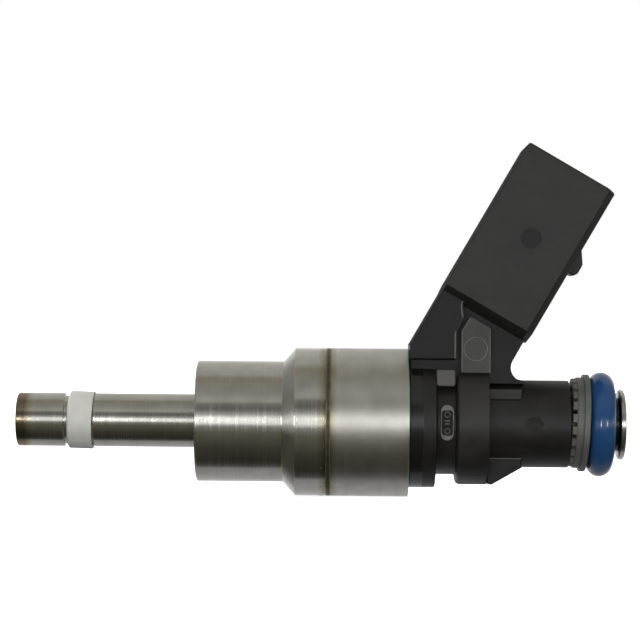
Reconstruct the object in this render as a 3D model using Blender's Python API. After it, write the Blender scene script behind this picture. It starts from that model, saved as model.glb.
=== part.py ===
"""A high-pressure fuel injector for a direct-injection petrol engine, as an assembly of separate pieces.

The injector lies along X: its spray tip points to -X, its fuel inlet to +X, and its connector leans up and
back in the XZ plane. The origin is on the injector's axis, in the plane of the shoulder that seats in the
cylinder head. All lengths are in metres.
"""

import math

import bmesh
import bpy
from mathutils import Matrix, Vector

MM = 0.001
CLEAR = 0.05 * MM  # gap between two pieces that are pressed or seated together
SLIVER = 0.002  # in millimetres
WIDE = 48  # facets round a large turned piece
NARROW = 24  # facets round a small one

# Stations along the axis, from the spray tip to the fuel inlet.
TIP_X = -25.2 * MM
SEAL_GROOVE_X = (-18.5 * MM, -14.4 * MM)
SHOULDER_X = 0.0
CONE_X = (12.1 * MM, 13.8 * MM)
WELD_X = 18.4 * MM
STEEL_END_X = 29.6 * MM
CLAMP_GROOVE_X = (33.3 * MM, 36.1 * MM)
COLLAR_END_X = 40.6 * MM
PLASTIC_END_X = 52.0 * MM
RAIL_GROOVE_X = (53.0 * MM, 58.9 * MM)
INLET_X = 59.72 * MM

# Radii of the outer surfaces.
NOZZLE_R = 3.75 * MM
SEAL_R = 4.0 * MM
SMALL_BODY_R = 8.46 * MM
LARGE_BODY_R = 10.35 * MM
PLASTIC_BASE_R = 9.06 * MM
CLAMP_GROOVE_R = 7.17 * MM
COLLAR_R = 8.57 * MM
PLASTIC_TUBE_R = 6.04 * MM
INLET_TUBE_R = 4.6 * MM
RAIL_GROOVE_R = 3.72 * MM
INLET_FLANGE_R = 4.93 * MM

# Rail seals: a 7.5 x 3.5 mm O-ring and the ring that backs it up.
O_RING_SECTION_R = 1.765 * MM
O_RING_R = RAIL_GROOVE_R + 0.04 * MM + O_RING_SECTION_R
O_RING_X = 56.42 * MM
SUPPORT_RING_X = (52.2 * MM, 52.8 * MM, 53.75 * MM, 54.6 * MM)  # crown, step, flange, far face
SUPPORT_FLANGE_R = 6.75 * MM
SUPPORT_STEP_R = 6.31 * MM
SUPPORT_CROWN_R = 6.15 * MM
SUPPORT_SLOTS = 16

# Valve: the needle rests on the seat and lifts towards the inlet.
NEEDLE_LIFT = 0.1 * MM
NEEDLE_R = 0.9 * MM
NOZZLE_BORE_R = 2.0 * MM
SEAT_POCKET_X = -20.7 * MM
SEAT_R = 2.65 * MM
SEAT_TOP_X = -22.4 * MM
SPRAY_HOLE_R = 0.35 * MM
SEAT_CONE_START_X = -23.9 * MM
SEAT_CONE_SLOPE = 0.9
BALL_R = 1.35 * MM
BALL_CLEAR = 0.03 * MM
NOZZLE_FLANGE_X = (4.5 * MM, 6.0 * MM)
NOZZLE_FLANGE_R = 5.5 * MM

# Magnet: the armature is drawn towards the pole core across the working gap.
ARMATURE_X = (13.6 * MM, 20.85 * MM)
ARMATURE_R = 4.55 * MM
SPRING_SEAT_X = 17.5 * MM
SPRING_BORE_R = 2.1 * MM
CORE_X = (ARMATURE_X[1] + NEEDLE_LIFT + CLEAR, 31.0 * MM)
CORE_R = 4.55 * MM
SPRING_X = (17.85 * MM, 24.7 * MM)
SPRING_R = 1.5 * MM
SPRING_WIRE_R = 0.25 * MM
SPRING_TURNS = 6
ADJUSTING_SLEEVE_X = (25.0 * MM, 30.0 * MM)
SLEEVE_X = (12.0 * MM, 26.0 * MM)
SLEEVE_WALL_R = (4.6 * MM, 4.95 * MM)
BOBBIN_X = (15.2 * MM, 27.4 * MM)
BOBBIN_BORE_R = 5.0 * MM
BOBBIN_TUBE_R = 5.6 * MM
BOBBIN_FLANGE_R = 8.8 * MM
BOBBIN_FLANGE = 0.9 * MM
WINDING_R = 8.3 * MM
WASHER_X = (27.45 * MM, 28.95 * MM)
PLUG_X = 29.0 * MM  # where the plastic starts, inside the end of the steel housing
HOUSING_BORE_R = PLASTIC_BASE_R + CLEAR
SPIGOT_R = 9.7 * MM
SPIGOT = 1.5 * MM

# Connector: its own frame stands on the injector's axis and leans 30 degrees back from the vertical.
# In that frame z runs up to the mouth, x across the thickness and y across the width.
CONNECTOR_FOOT_X = 31.22 * MM
CONNECTOR_LEAN = math.radians(30)
SHELL_Z = (17.4 * MM, 41.05 * MM)
SHELL_HALF_THICK = 6.9 * MM
SHELL_HALF_WIDE = 7.5 * MM
SHELL_WALL = 1.3 * MM
SHELL_CORNER_R = 0.7 * MM
SOCKET_DEPTH = 14.0 * MM
NECK_HALF_WIDE = 5.3 * MM
NECK_FRONT = -6.8 * MM  # the side of the neck that faces the steel housing
NECK_BACK = 6.45 * MM
NECK_FLOOR_Z = (5.0 * MM, 5.85 * MM)  # above the collar, and above the tube
NECK_PAD_HALF_WIDE = 5.8 * MM
BLOCK_FLOOR_Z = 8.95 * MM
TUBE_FILLET_R = 1.87 * MM
LATCH_Z = (28.5 * MM, 29.1 * MM, 30.5 * MM, 32.7 * MM)  # hook, crest, crest, foot of the ramp
LATCH_HEIGHT = 1.4 * MM
LATCH_HALF_WIDE = 2.6 * MM

# Terminals: flat blades that run from the coil to the socket.
BLADE_PITCH = 5.0 * MM
BLADE_WIDE = 1.5 * MM
BLADE_THICK = 0.6 * MM
BLADE_LEVEL_Z = 7.2 * MM
BLADE_TIP_Z = 36.5 * MM

CONNECTOR_FRAME = Matrix.Translation((CONNECTOR_FOOT_X, 0, 0)) @ Matrix.Rotation(CONNECTOR_LEAN, 4, "Y")


# ---------------------------------------------------------------- helpers


def clear_scene():
    for obj in list(bpy.data.objects):
        bpy.data.objects.remove(obj)


def material(name, colour, roughness, metallic=0.0):
    made = bpy.data.materials.new(name)
    made.use_nodes = True
    shader = made.node_tree.nodes["Principled BSDF"]
    shader.inputs["Base Color"].default_value = (*colour, 1)
    shader.inputs["Roughness"].default_value = roughness
    shader.inputs["Metallic"].default_value = metallic
    return made


def add_object(name, bm, finish=None, frame=None):
    """Makes an object from a bmesh placed in a frame, shaded smooth across shallow edges."""
    if frame:
        bm.transform(frame)
    bmesh.ops.recalc_face_normals(bm, faces=bm.faces)
    mesh = bpy.data.meshes.new(name)
    bm.to_mesh(mesh)
    bm.free()
    mesh.shade_smooth()
    mesh.set_sharp_from_angle(angle=math.radians(35))
    if finish:
        mesh.materials.append(finish)
    obj = bpy.data.objects.new(name, mesh)
    bpy.context.scene.collection.objects.link(obj)
    return obj


def turned(name, outline, finish=None, sides=NARROW):
    """A piece turned about X from the (x, radius) points of its half section."""
    bm = bmesh.new()
    points = [bm.verts.new((x, 0, r)) for x, r in outline]
    edges = []
    for near, far in zip(points, points[1:] + points[:1]):
        if near.co.z > 0 or far.co.z > 0:
            edges.append(bm.edges.new((near, far)))
    turn = {"axis": (1, 0, 0), "cent": (0, 0, 0), "angle": 2 * math.pi}
    bmesh.ops.spin(bm, geom=points + edges, steps=sides, use_merge=True, **turn)
    bmesh.ops.remove_doubles(bm, verts=bm.verts, dist=1e-6 * MM)
    return add_object(name, bm, finish)


def prism(name, outline, y_range, finish=None, frame=None):
    """A flat outline of (x, z) points, extruded from one y to another."""
    bm = bmesh.new()
    face = bm.faces.new([bm.verts.new((x, y_range[0], z)) for x, z in outline])
    lifted = bmesh.ops.extrude_face_region(bm, geom=[face])
    moved = [item for item in lifted["geom"] if isinstance(item, bmesh.types.BMVert)]
    bmesh.ops.translate(bm, verts=moved, vec=(0, y_range[1] - y_range[0], 0))
    return add_object(name, bm, finish, frame)


def block(name, low, high, finish=None, frame=None):
    """A box between two corners."""
    outline = [(low[0], low[2]), (high[0], low[2]), (high[0], high[2]), (low[0], high[2])]
    return prism(name, outline, (low[1], high[1]), finish, frame)


def rod(name, start, end, radius, sides=NARROW):
    """A round bar from one point to another, used to drill holes."""
    start, end = Vector(start), Vector(end)
    bm = bmesh.new()
    turn = (end - start).to_track_quat("Z", "Y").to_matrix().to_4x4()
    place = Matrix.Translation((start + end) / 2) @ turn
    depth = (end - start).length
    bmesh.ops.create_cone(
        bm, cap_ends=True, segments=sides, radius1=radius, radius2=radius, depth=depth, matrix=place
    )
    return add_object(name, bm)


def tidy_mesh(mesh):
    """Closes up the hair-thin faces that a Boolean can leave."""
    bm = bmesh.new()
    bm.from_mesh(mesh)
    bmesh.ops.remove_doubles(bm, verts=bm.verts, dist=SLIVER)
    bmesh.ops.dissolve_degenerate(bm, dist=SLIVER, edges=bm.edges)
    bm.to_mesh(mesh)
    bm.free()


def combine(target, tool, operation):
    """Joins a tool to a piece, or cuts it away, and removes the tool. It works at a thousand to one."""
    for obj in (target, tool):
        obj.data.transform(Matrix.Scale(1 / MM, 4))
    modifier = target.modifiers.new("Combine", "BOOLEAN")
    modifier.operation = operation
    modifier.object = tool
    modifier.solver = "EXACT"
    graph = bpy.context.evaluated_depsgraph_get()
    mesh = bpy.data.meshes.new_from_object(target.evaluated_get(graph))
    target.modifiers.clear()
    target.data = mesh
    tidy_mesh(mesh)
    mesh.transform(Matrix.Scale(MM, 4))
    mesh.set_sharp_from_angle(angle=math.radians(35))
    bpy.data.objects.remove(tool)


def join(target, tool):
    combine(target, tool, "UNION")


def cut(target, tool):
    combine(target, tool, "DIFFERENCE")


def arc(centre, radius, start, end, steps):
    """Points on an arc, from one angle to another in degrees."""
    angles = [math.radians(start + (end - start) * i / steps) for i in range(steps + 1)]
    return [(centre[0] + radius * math.cos(a), centre[1] + radius * math.sin(a)) for a in angles]


def to_world(x, z):
    """A point of the connector's frame, as (x, z) in the injector's frame."""
    point = CONNECTOR_FRAME @ Vector((x, 0, z))
    return point.x, point.z


def along_neck(side, level):
    """The point where one side of the leaning neck crosses a level above the axis."""
    x, z = to_world(side, 0)
    return x + (level - z) * math.tan(CONNECTOR_LEAN), level


def hold(parent, *pieces):
    for piece in pieces:
        piece.parent = parent
        piece.matrix_parent_inverse = parent.matrix_world.inverted()


def empty(name, frame, parent=None):
    obj = bpy.data.objects.new(name, None)
    bpy.context.scene.collection.objects.link(obj)
    obj.empty_display_size = 5 * MM
    obj.matrix_world = frame
    if parent:
        hold(parent, obj)
    bpy.context.view_layer.update()
    return obj


# ---------------------------------------------------------------- nozzle and valve


def make_nozzle_body(steel):
    """The long tube with the groove for the tip seal, and the flange that the housing grips."""
    groove_r = 3.3 * MM
    edge = 0.25 * MM
    groove_start, groove_end = SEAL_GROOVE_X
    flange_start, flange_end = NOZZLE_FLANGE_X
    pocket_r = SEAT_R + CLEAR
    outline = [
        (TIP_X, pocket_r),
        (TIP_X, NOZZLE_R - edge),
        (TIP_X + edge, NOZZLE_R),
        (groove_start - edge, NOZZLE_R),
        (groove_start, NOZZLE_R - edge),
        (groove_start, groove_r),
        (groove_end, groove_r),
        (groove_end, NOZZLE_R),
        (flange_start, NOZZLE_R),
        (flange_start, NOZZLE_FLANGE_R),
        (flange_end, NOZZLE_FLANGE_R),
        (flange_end, NOZZLE_BORE_R),
        (SEAT_POCKET_X, NOZZLE_BORE_R),
        (SEAT_POCKET_X, pocket_r),
    ]
    return turned("nozzle_body", outline, steel)


def make_tip_seal(white):
    """The square-cut ring that seals the nozzle in the cylinder head, bevelled on its tip side."""
    bevel = 0.4 * MM
    start, end = SEAL_GROOVE_X[0] + 0.45 * MM, SEAL_GROOVE_X[1] - 0.1 * MM
    inner = 3.35 * MM
    outline = [(start, inner), (start, SEAL_R - bevel), (start + bevel, SEAL_R), (end, SEAL_R), (end, inner)]
    return turned("tip_seal_ring", outline, white)


def make_valve_seat(steel):
    cone_r = SPRAY_HOLE_R + SEAT_CONE_SLOPE * (SEAT_TOP_X - SEAT_CONE_START_X)
    outline = [
        (TIP_X, SPRAY_HOLE_R),
        (TIP_X, SEAT_R),
        (SEAT_TOP_X, SEAT_R),
        (SEAT_TOP_X, cone_r),
        (SEAT_CONE_START_X, SPRAY_HOLE_R),
    ]
    return turned("valve_seat", outline, steel)


def make_swirl_disc(steel):
    """The disc over the seat, with slots that send the fuel round the ball."""
    start, end = SEAT_TOP_X + CLEAR, SEAT_TOP_X + 0.8 * MM
    hole_r = BALL_R + 0.1 * MM
    disc = turned("swirl_disc", [(start, hole_r), (start, SEAT_R), (end, SEAT_R), (end, hole_r)], steel)
    slots, slot_half, slot_offset = 4, 0.2 * MM, 0.9 * MM
    for i in range(slots):
        turn = Matrix.Rotation(2 * math.pi * i / slots, 4, "X")
        low = (start - CLEAR, slot_offset - slot_half, 0)
        high = ((start + end) / 2, slot_offset + slot_half, 2.2 * MM)
        cut(disc, block("slot", low, high, frame=turn))
    return disc


def make_guide_disc(steel):
    """The disc that keeps the ball on the axis."""
    start, end = SEAT_TOP_X + 0.85 * MM, SEAT_POCKET_X - CLEAR
    hole_r = BALL_R + 0.05 * MM
    disc = turned("ball_guide_disc", [(start, hole_r), (start, SEAT_R), (end, SEAT_R), (end, hole_r)], steel)
    return disc


def ball_x():
    """Where the ball's centre is when it rests on the cone of the seat."""
    reach = (BALL_R + BALL_CLEAR) * math.hypot(1, SEAT_CONE_SLOPE)
    return SEAT_CONE_START_X + (reach - SPRAY_HOLE_R) / SEAT_CONE_SLOPE


def make_needle(steel):
    """The ball, and the shaft that carries it, with a wider head that the armature grips."""
    bm = bmesh.new()
    place = Matrix.Translation((ball_x(), 0, 0))
    bmesh.ops.create_icosphere(bm, subdivisions=3, radius=BALL_R, matrix=place)
    ball = add_object("needle_ball", bm, steel)
    head_r, head_x = 1.55 * MM, 11.5 * MM
    start = ball_x() + BALL_R + CLEAR
    outline = [
        (start, 0),
        (start, NEEDLE_R),
        (head_x, NEEDLE_R),
        (head_x, head_r),
        (SPRING_SEAT_X, head_r),
        (SPRING_SEAT_X, 0),
    ]
    shaft = turned("needle_shaft", outline, steel)
    return ball, shaft


def make_armature(iron):
    start, end = ARMATURE_X
    head_bore_r = 1.6 * MM
    outline = [
        (start, head_bore_r),
        (start, ARMATURE_R),
        (end, ARMATURE_R),
        (end, SPRING_BORE_R),
        (SPRING_SEAT_X, SPRING_BORE_R),
        (SPRING_SEAT_X, head_bore_r),
    ]
    armature = turned("armature", outline, iron)
    holes, hole_r, circle_r = 4, 0.45 * MM, 3.3 * MM
    for i in range(holes):
        angle = 2 * math.pi * (i + 0.5) / holes
        y, z = circle_r * math.sin(angle), circle_r * math.cos(angle)
        cut(armature, rod("hole", (start - MM, y, z), (end + MM, y, z), hole_r, sides=12))
    return armature


def make_lift_stop(steel):
    """The spacer that is ground to set the needle's lift."""
    start, end = NOZZLE_FLANGE_X[1] + CLEAR, 7.45 * MM
    hole_r = 1.3 * MM
    outline = [(start, hole_r), (start, NOZZLE_FLANGE_R), (end, NOZZLE_FLANGE_R), (end, hole_r)]
    return turned("lift_stop_disc", outline, steel)


def make_needle_guide(steel):
    """The upper guide of the needle, with holes that let the fuel past."""
    start, end = 7.55 * MM, 9.0 * MM
    bore_r, outer_r = NEEDLE_R + CLEAR, 4.55 * MM
    outline = [(start, bore_r), (start, outer_r), (end, outer_r), (end, bore_r)]
    guide = turned("needle_guide_ring", outline, steel)
    holes, hole_r, circle_r = 4, 0.6 * MM, 2.6 * MM
    for i in range(holes):
        angle = 2 * math.pi * i / holes
        y, z = circle_r * math.sin(angle), circle_r * math.cos(angle)
        cut(guide, rod("hole", (start - MM, y, z), (end + MM, y, z), hole_r, sides=12))
    return guide


# ---------------------------------------------------------------- magnet


def make_valve_housing(steel):
    """The front half of the steel body, with the shoulder, the cone and a spigot for the rear half."""
    bore_r = NOZZLE_R + CLEAR
    pocket_r = NOZZLE_FLANGE_R + CLEAR
    pocket_end = 7.5 * MM
    chamber_r = SLEEVE_WALL_R[0]
    coil_pocket_x = BOBBIN_X[0] - CLEAR
    coil_pocket_r = BOBBIN_FLANGE_R + CLEAR
    sleeve_r = SLEEVE_WALL_R[1] + CLEAR
    flange_face = NOZZLE_FLANGE_X[0] - CLEAR
    edge = 0.3 * MM
    outline = [
        (SHOULDER_X, bore_r),
        (SHOULDER_X, SMALL_BODY_R - edge),
        (SHOULDER_X + edge, SMALL_BODY_R),
        (CONE_X[0], SMALL_BODY_R),
        (CONE_X[1], LARGE_BODY_R),
        (WELD_X, LARGE_BODY_R),
        (WELD_X, SPIGOT_R),
        (WELD_X + SPIGOT, SPIGOT_R),
        (WELD_X + SPIGOT, coil_pocket_r),
        (coil_pocket_x, coil_pocket_r),
        (coil_pocket_x, sleeve_r),
        (SLEEVE_X[0] - CLEAR, sleeve_r),
        (SLEEVE_X[0] - CLEAR, chamber_r),
        (pocket_end, chamber_r),
        (pocket_end, pocket_r),
        (flange_face, pocket_r),
        (flange_face, bore_r),
    ]
    return turned("valve_housing", outline, steel, WIDE)


def make_magnet_housing(steel):
    """The rear half of the steel body, which closes the magnetic circuit round the coil."""
    start = WELD_X + CLEAR
    step = WELD_X + SPIGOT + CLEAR
    edge = 0.2 * MM
    outline = [
        (start, SPIGOT_R + CLEAR),
        (start, LARGE_BODY_R),
        (STEEL_END_X - edge, LARGE_BODY_R),
        (STEEL_END_X, LARGE_BODY_R - edge),
        (STEEL_END_X, HOUSING_BORE_R),
        (step, HOUSING_BORE_R),
        (step, SPIGOT_R + CLEAR),
    ]
    return turned("magnet_housing", outline, steel, WIDE)


def make_sleeve(steel):
    """The thin non-magnetic tube that the armature runs in."""
    inner, outer = SLEEVE_WALL_R
    start, end = SLEEVE_X
    return turned("non_magnetic_sleeve", [(start, inner), (start, outer), (end, outer), (end, inner)], steel)


def make_bobbin(plastic):
    start, end = BOBBIN_X
    outline = [
        (start, BOBBIN_BORE_R),
        (start, BOBBIN_FLANGE_R),
        (start + BOBBIN_FLANGE, BOBBIN_FLANGE_R),
        (start + BOBBIN_FLANGE, BOBBIN_TUBE_R),
        (end - BOBBIN_FLANGE, BOBBIN_TUBE_R),
        (end - BOBBIN_FLANGE, BOBBIN_FLANGE_R),
        (end, BOBBIN_FLANGE_R),
        (end, BOBBIN_BORE_R),
    ]
    bobbin = turned("coil_bobbin", outline, plastic)
    post_half_wide = 4.2 * MM
    post_low, post_high = BLADE_LEVEL_Z - 1.1 * MM, BLADE_LEVEL_Z + 0.6 * MM
    low = (end - 0.5 * BOBBIN_FLANGE, -post_half_wide, post_low)
    high = (WASHER_X[1] - CLEAR, post_half_wide, post_high)
    join(bobbin, block("post", low, high))
    return bobbin


def make_winding(copper):
    start, end = BOBBIN_X[0] + BOBBIN_FLANGE + CLEAR, BOBBIN_X[1] - BOBBIN_FLANGE - CLEAR
    inner = BOBBIN_TUBE_R + CLEAR
    outline = [(start, inner), (start, WINDING_R), (end, WINDING_R), (end, inner)]
    return turned("coil_winding", outline, copper)


def make_pole_washer(iron):
    """The open ring behind the coil, with a gap for the terminal post."""
    start, end = WASHER_X
    inner, outer = CORE_R + CLEAR, PLASTIC_BASE_R
    washer = turned("pole_washer", [(start, inner), (start, outer), (end, outer), (end, inner)], iron, WIDE)
    gap_half_wide = 4.6 * MM
    low, high = (start - MM, -gap_half_wide, 2.0 * MM), (end + MM, gap_half_wide, outer + MM)
    cut(washer, block("gap", low, high))
    return washer


def make_pole_core(iron):
    start, end = CORE_X
    outline = [(start, SPRING_BORE_R), (start, CORE_R), (end, CORE_R), (end, SPRING_BORE_R)]
    return turned("pole_core", outline, iron)


def make_adjusting_sleeve(steel):
    """The slit tube that is pressed into the core to set the spring's force."""
    start, end = ADJUSTING_SLEEVE_X
    inner, outer = 1.2 * MM, SPRING_BORE_R - CLEAR
    outline = [(start, inner), (start, outer), (end, outer), (end, inner)]
    sleeve = turned("spring_adjusting_sleeve", outline, steel)
    slit_half = 0.25 * MM
    cut(sleeve, block("slit", (start - MM, -slit_half, 0), (end + MM, slit_half, outer + MM)))
    return sleeve


def make_spring(steel):
    """The closing spring between the adjusting sleeve and the needle."""
    points_per_turn = 12
    count = SPRING_TURNS * points_per_turn
    curve = bpy.data.curves.new("closing_spring", "CURVE")
    curve.dimensions = "3D"
    curve.bevel_depth = SPRING_WIRE_R
    curve.bevel_resolution = 1
    curve.use_fill_caps = True
    spline = curve.splines.new("POLY")
    spline.points.add(count)
    start, end = SPRING_X
    for i, point in enumerate(spline.points):
        angle = 2 * math.pi * i / points_per_turn
        x = start + (end - start) * i / count
        point.co = (x, SPRING_R * math.cos(angle), SPRING_R * math.sin(angle), 1)
    curve.materials.append(steel)
    spring = bpy.data.objects.new("closing_spring", curve)
    bpy.context.scene.collection.objects.link(spring)
    return spring


# ---------------------------------------------------------------- fuel inlet


def make_inlet_tube(steel):
    """The tube that carries the fuel in, with the groove and flange that hold the rail seals."""
    bore_r, mouth_r = 2.4 * MM, 2.95 * MM
    filter_stop_x = 50.0 * MM
    edge = 0.15 * MM
    groove_start, groove_end = RAIL_GROOVE_X
    start = CORE_X[1] + CLEAR
    outline = [
        (start, bore_r),
        (start, INLET_TUBE_R),
        (groove_start - 0.25 * MM, INLET_TUBE_R),
        (groove_start, RAIL_GROOVE_R),
        (groove_end, RAIL_GROOVE_R),
        (groove_end, INLET_FLANGE_R - edge),
        (groove_end + edge, INLET_FLANGE_R),
        (INLET_X - edge, INLET_FLANGE_R),
        (INLET_X, INLET_FLANGE_R - edge),
        (INLET_X, mouth_r),
        (filter_stop_x, mouth_r),
        (filter_stop_x, bore_r),
    ]
    return turned("inlet_tube", outline, steel)


def make_filter_frame(brass):
    """The basket that holds the strainer, with four windows."""
    nose_x, window_x, rim_x, end_x = 50.6 * MM, (52.0 * MM, 57.2 * MM), 58.0 * MM, 59.3 * MM
    inner, outer, rim_r = 2.0 * MM, 2.35 * MM, 2.9 * MM
    nose = 0.6 * MM
    outline = [
        (nose_x, 0),
        (nose_x, outer),
        (rim_x, outer),
        (rim_x, rim_r),
        (end_x, rim_r),
        (end_x, inner),
        (nose_x + nose, inner),
        (nose_x + nose, 0),
    ]
    frame = turned("filter_frame", outline, brass)
    half = 1.1 * MM
    for turn in (0, math.pi / 2):
        low, high = (window_x[0], -half, -rim_r), (window_x[1], half, rim_r)
        cut(frame, block("windows", low, high, frame=Matrix.Rotation(turn, 4, "X")))
    return frame


def make_filter_mesh(steel):
    start, end = 51.3 * MM, 58.8 * MM
    inner, outer = 1.75 * MM, 1.93 * MM
    return turned("filter_mesh", [(start, inner), (start, outer), (end, outer), (end, inner)], steel)


def make_o_ring(rubber):
    sections = 14
    outline = arc((O_RING_X, O_RING_R), O_RING_SECTION_R, 0, 360, sections)[:-1]
    return turned("fuel_o_ring", outline, rubber, 36)


def make_support_ring(grey):
    """The stepped ring that backs up the O-ring, with a crown of teeth on its plastic side."""
    crown_x, step_x, flange_x, end_x = SUPPORT_RING_X
    wide_bore, narrow_bore = INLET_TUBE_R + CLEAR, RAIL_GROOVE_R + CLEAR
    edge = 0.15 * MM
    bore_step = RAIL_GROOVE_X[0] + CLEAR
    outline = [
        (crown_x, wide_bore),
        (crown_x, SUPPORT_CROWN_R),
        (step_x, SUPPORT_STEP_R),
        (flange_x, SUPPORT_STEP_R),
        (flange_x, SUPPORT_FLANGE_R - edge),
        (flange_x + edge, SUPPORT_FLANGE_R),
        (end_x, SUPPORT_FLANGE_R),
        (end_x, narrow_bore),
        (bore_step, narrow_bore),
        (bore_step, wide_bore),
    ]
    ring = turned("support_ring", outline, grey, WIDE)
    slot_half = 0.45 * MM
    for i in range(SUPPORT_SLOTS // 2):
        low = (crown_x - MM, -slot_half, -SUPPORT_FLANGE_R - MM)
        high = (step_x - CLEAR, slot_half, SUPPORT_FLANGE_R + MM)
        turn = Matrix.Rotation(2 * math.pi * (i + 0.5) / SUPPORT_SLOTS, 4, "X")
        cut(ring, block("slot", low, high, frame=turn))
    return ring


# ---------------------------------------------------------------- plastic and terminals


def blade_path(clear=0.0):
    """The middle line of a terminal in the connector's frame: back from the coil, then up to its tip."""
    bend_z = BLADE_LEVEL_Z / math.cos(CONNECTOR_LEAN)
    run = to_world(0, bend_z)[0] - WASHER_X[1] + clear
    tail = (-run * math.cos(CONNECTOR_LEAN), bend_z - run * math.sin(CONNECTOR_LEAN))
    return [tail, (0, bend_z), (0, BLADE_TIP_Z + clear)]


def strip_outline(path, half):
    """The outline of a bent strip of even thickness along a path of three points, mitred at the bend."""
    tail, bend, tip = (Vector(p) for p in path)
    first, second = (bend - tail).normalized(), (tip - bend).normalized()
    first_side, second_side = Vector((-first.y, first.x)), Vector((-second.y, second.x))
    mitre = (first_side + second_side).normalized()
    reach = half / mitre.dot(first_side)
    left = [tail + first_side * half, bend + mitre * reach, tip + second_side * half]
    right = [tail - first_side * half, bend - mitre * reach, tip - second_side * half]
    return [tuple(p) for p in left + right[::-1]]


def make_terminal(name, middle_y, tin):
    outline = strip_outline(blade_path(), BLADE_THICK / 2)
    span = (middle_y - BLADE_WIDE / 2, middle_y + BLADE_WIDE / 2)
    return prism(name, outline, span, tin, CONNECTOR_FRAME)


def neck_outline():
    """The side view of the neck: a leaning slab that stands on the plastic tube with a fillet behind it."""
    inside = 0.3 * MM
    tube_top = PLASTIC_TUBE_R
    slope = math.radians(90) - CONNECTOR_LEAN
    corner = along_neck(NECK_BACK, tube_top)
    reach = TUBE_FILLET_R / math.tan(slope / 2)
    fillet_centre = (corner[0] + reach, tube_top + TUBE_FILLET_R)
    fillet = arc(fillet_centre, TUBE_FILLET_R, 90 + math.degrees(slope), 270, 6)
    low, high = NECK_FLOOR_Z
    return [
        (STEEL_END_X + CLEAR, low),
        (STEEL_END_X + CLEAR, along_neck_level(NECK_FRONT, STEEL_END_X + CLEAR)),
        to_world(NECK_FRONT, SHELL_Z[0] + inside),
        to_world(NECK_BACK, SHELL_Z[0] + inside),
        *fillet,
        (corner[0] + reach, high),
        (COLLAR_END_X - inside, high),
        (COLLAR_END_X - inside, low),
    ]


def along_neck_level(side, x):
    """The level where one side of the leaning neck crosses a station along the axis."""
    foot_x, foot_z = to_world(side, 0)
    return foot_z + (x - foot_x) / math.tan(CONNECTOR_LEAN)


def make_shell():
    """The connector's shell with rounded corners, before its socket is cut."""
    bm = bmesh.new()
    size = Vector((2 * SHELL_HALF_THICK, 2 * SHELL_HALF_WIDE, SHELL_Z[1] - SHELL_Z[0]))
    place = Matrix.Translation((0, 0, sum(SHELL_Z) / 2)) @ Matrix.Diagonal((*size, 1))
    bmesh.ops.create_cube(bm, size=1, matrix=place)
    uprights = [e for e in bm.edges if abs(e.verts[0].co.z - e.verts[1].co.z) > size.z / 2]
    bmesh.ops.bevel(bm, geom=uprights, offset=SHELL_CORNER_R, segments=3, profile=0.5, affect="EDGES")
    return add_object("shell", bm, frame=CONNECTOR_FRAME)


def make_overmould(plastic):
    """The moulded plastic body: base, clamp groove, collar, tube, neck and connector shell in one piece."""
    step_x = sum(CLAMP_GROOVE_X) / 2
    outline = [
        (PLUG_X, PLASTIC_BASE_R),
        (step_x, PLASTIC_BASE_R),
        (step_x, COLLAR_R),
        (COLLAR_END_X, COLLAR_R),
        (COLLAR_END_X, PLASTIC_TUBE_R),
        (PLASTIC_END_X - 0.2 * MM, PLASTIC_TUBE_R),
        (PLASTIC_END_X, PLASTIC_TUBE_R - 0.2 * MM),
        (PLASTIC_END_X, INLET_TUBE_R + CLEAR),
        (PLUG_X, INLET_TUBE_R + CLEAR),
    ]
    body = turned("overmould_body", outline, plastic, WIDE)
    cut_clamp_groove(body)
    join(body, prism("neck", neck_outline(), (-NECK_HALF_WIDE, NECK_HALF_WIDE)))
    join_neck_pads(body)
    join(body, make_shell())
    join_ribs(body)
    bore_r = INLET_TUBE_R + CLEAR
    cut(body, rod("bore", (PLUG_X - MM, 0, 0), (PLASTIC_END_X + MM, 0, 0), bore_r))
    cut_socket(body)
    return body


def cut_clamp_groove(body):
    """The groove for the hold-down clamp, with the step below the neck that the clamp's fork stops at."""
    start, end = CLAMP_GROOVE_X
    far = 12 * MM
    outline = [(start, CLAMP_GROOVE_R), (start, far), (end, far), (end, CLAMP_GROOVE_R)]
    cut(body, turned("groove", outline, None, WIDE))
    step_half = 6.45 * MM
    low = (start - 0.15 * MM, -step_half, 5.3 * MM)
    high = (end - 0.2 * MM, step_half, 7.6 * MM)
    join(body, block("step", low, high))


def join_neck_pads(body):
    """The two raised faces on each side of the neck: one by the steel housing, one above the collar."""
    shell_foot = SHELL_Z[0] + 0.3 * MM
    block_end_x, block_top_z = 36.05 * MM, 12.85 * MM
    front = [
        (STEEL_END_X + CLEAR, BLOCK_FLOOR_Z),
        (STEEL_END_X + CLEAR, along_neck_level(NECK_FRONT, STEEL_END_X + CLEAR)),
        to_world(NECK_FRONT, shell_foot),
        to_world(-3.5 * MM, shell_foot),
        (37.05 * MM, 14.85 * MM),
        (block_end_x, block_top_z),
        (block_end_x, BLOCK_FLOOR_Z),
    ]
    back = [
        (36.7 * MM, 7.12 * MM),
        (36.7 * MM, 12.95 * MM),
        (37.95 * MM, 15.0 * MM),
        (40.78 * MM, 13.35 * MM),
        (40.78 * MM, 7.12 * MM),
    ]
    for outline in (front, back):
        join(body, prism("pad", outline, (-NECK_PAD_HALF_WIDE, NECK_PAD_HALF_WIDE)))


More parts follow.
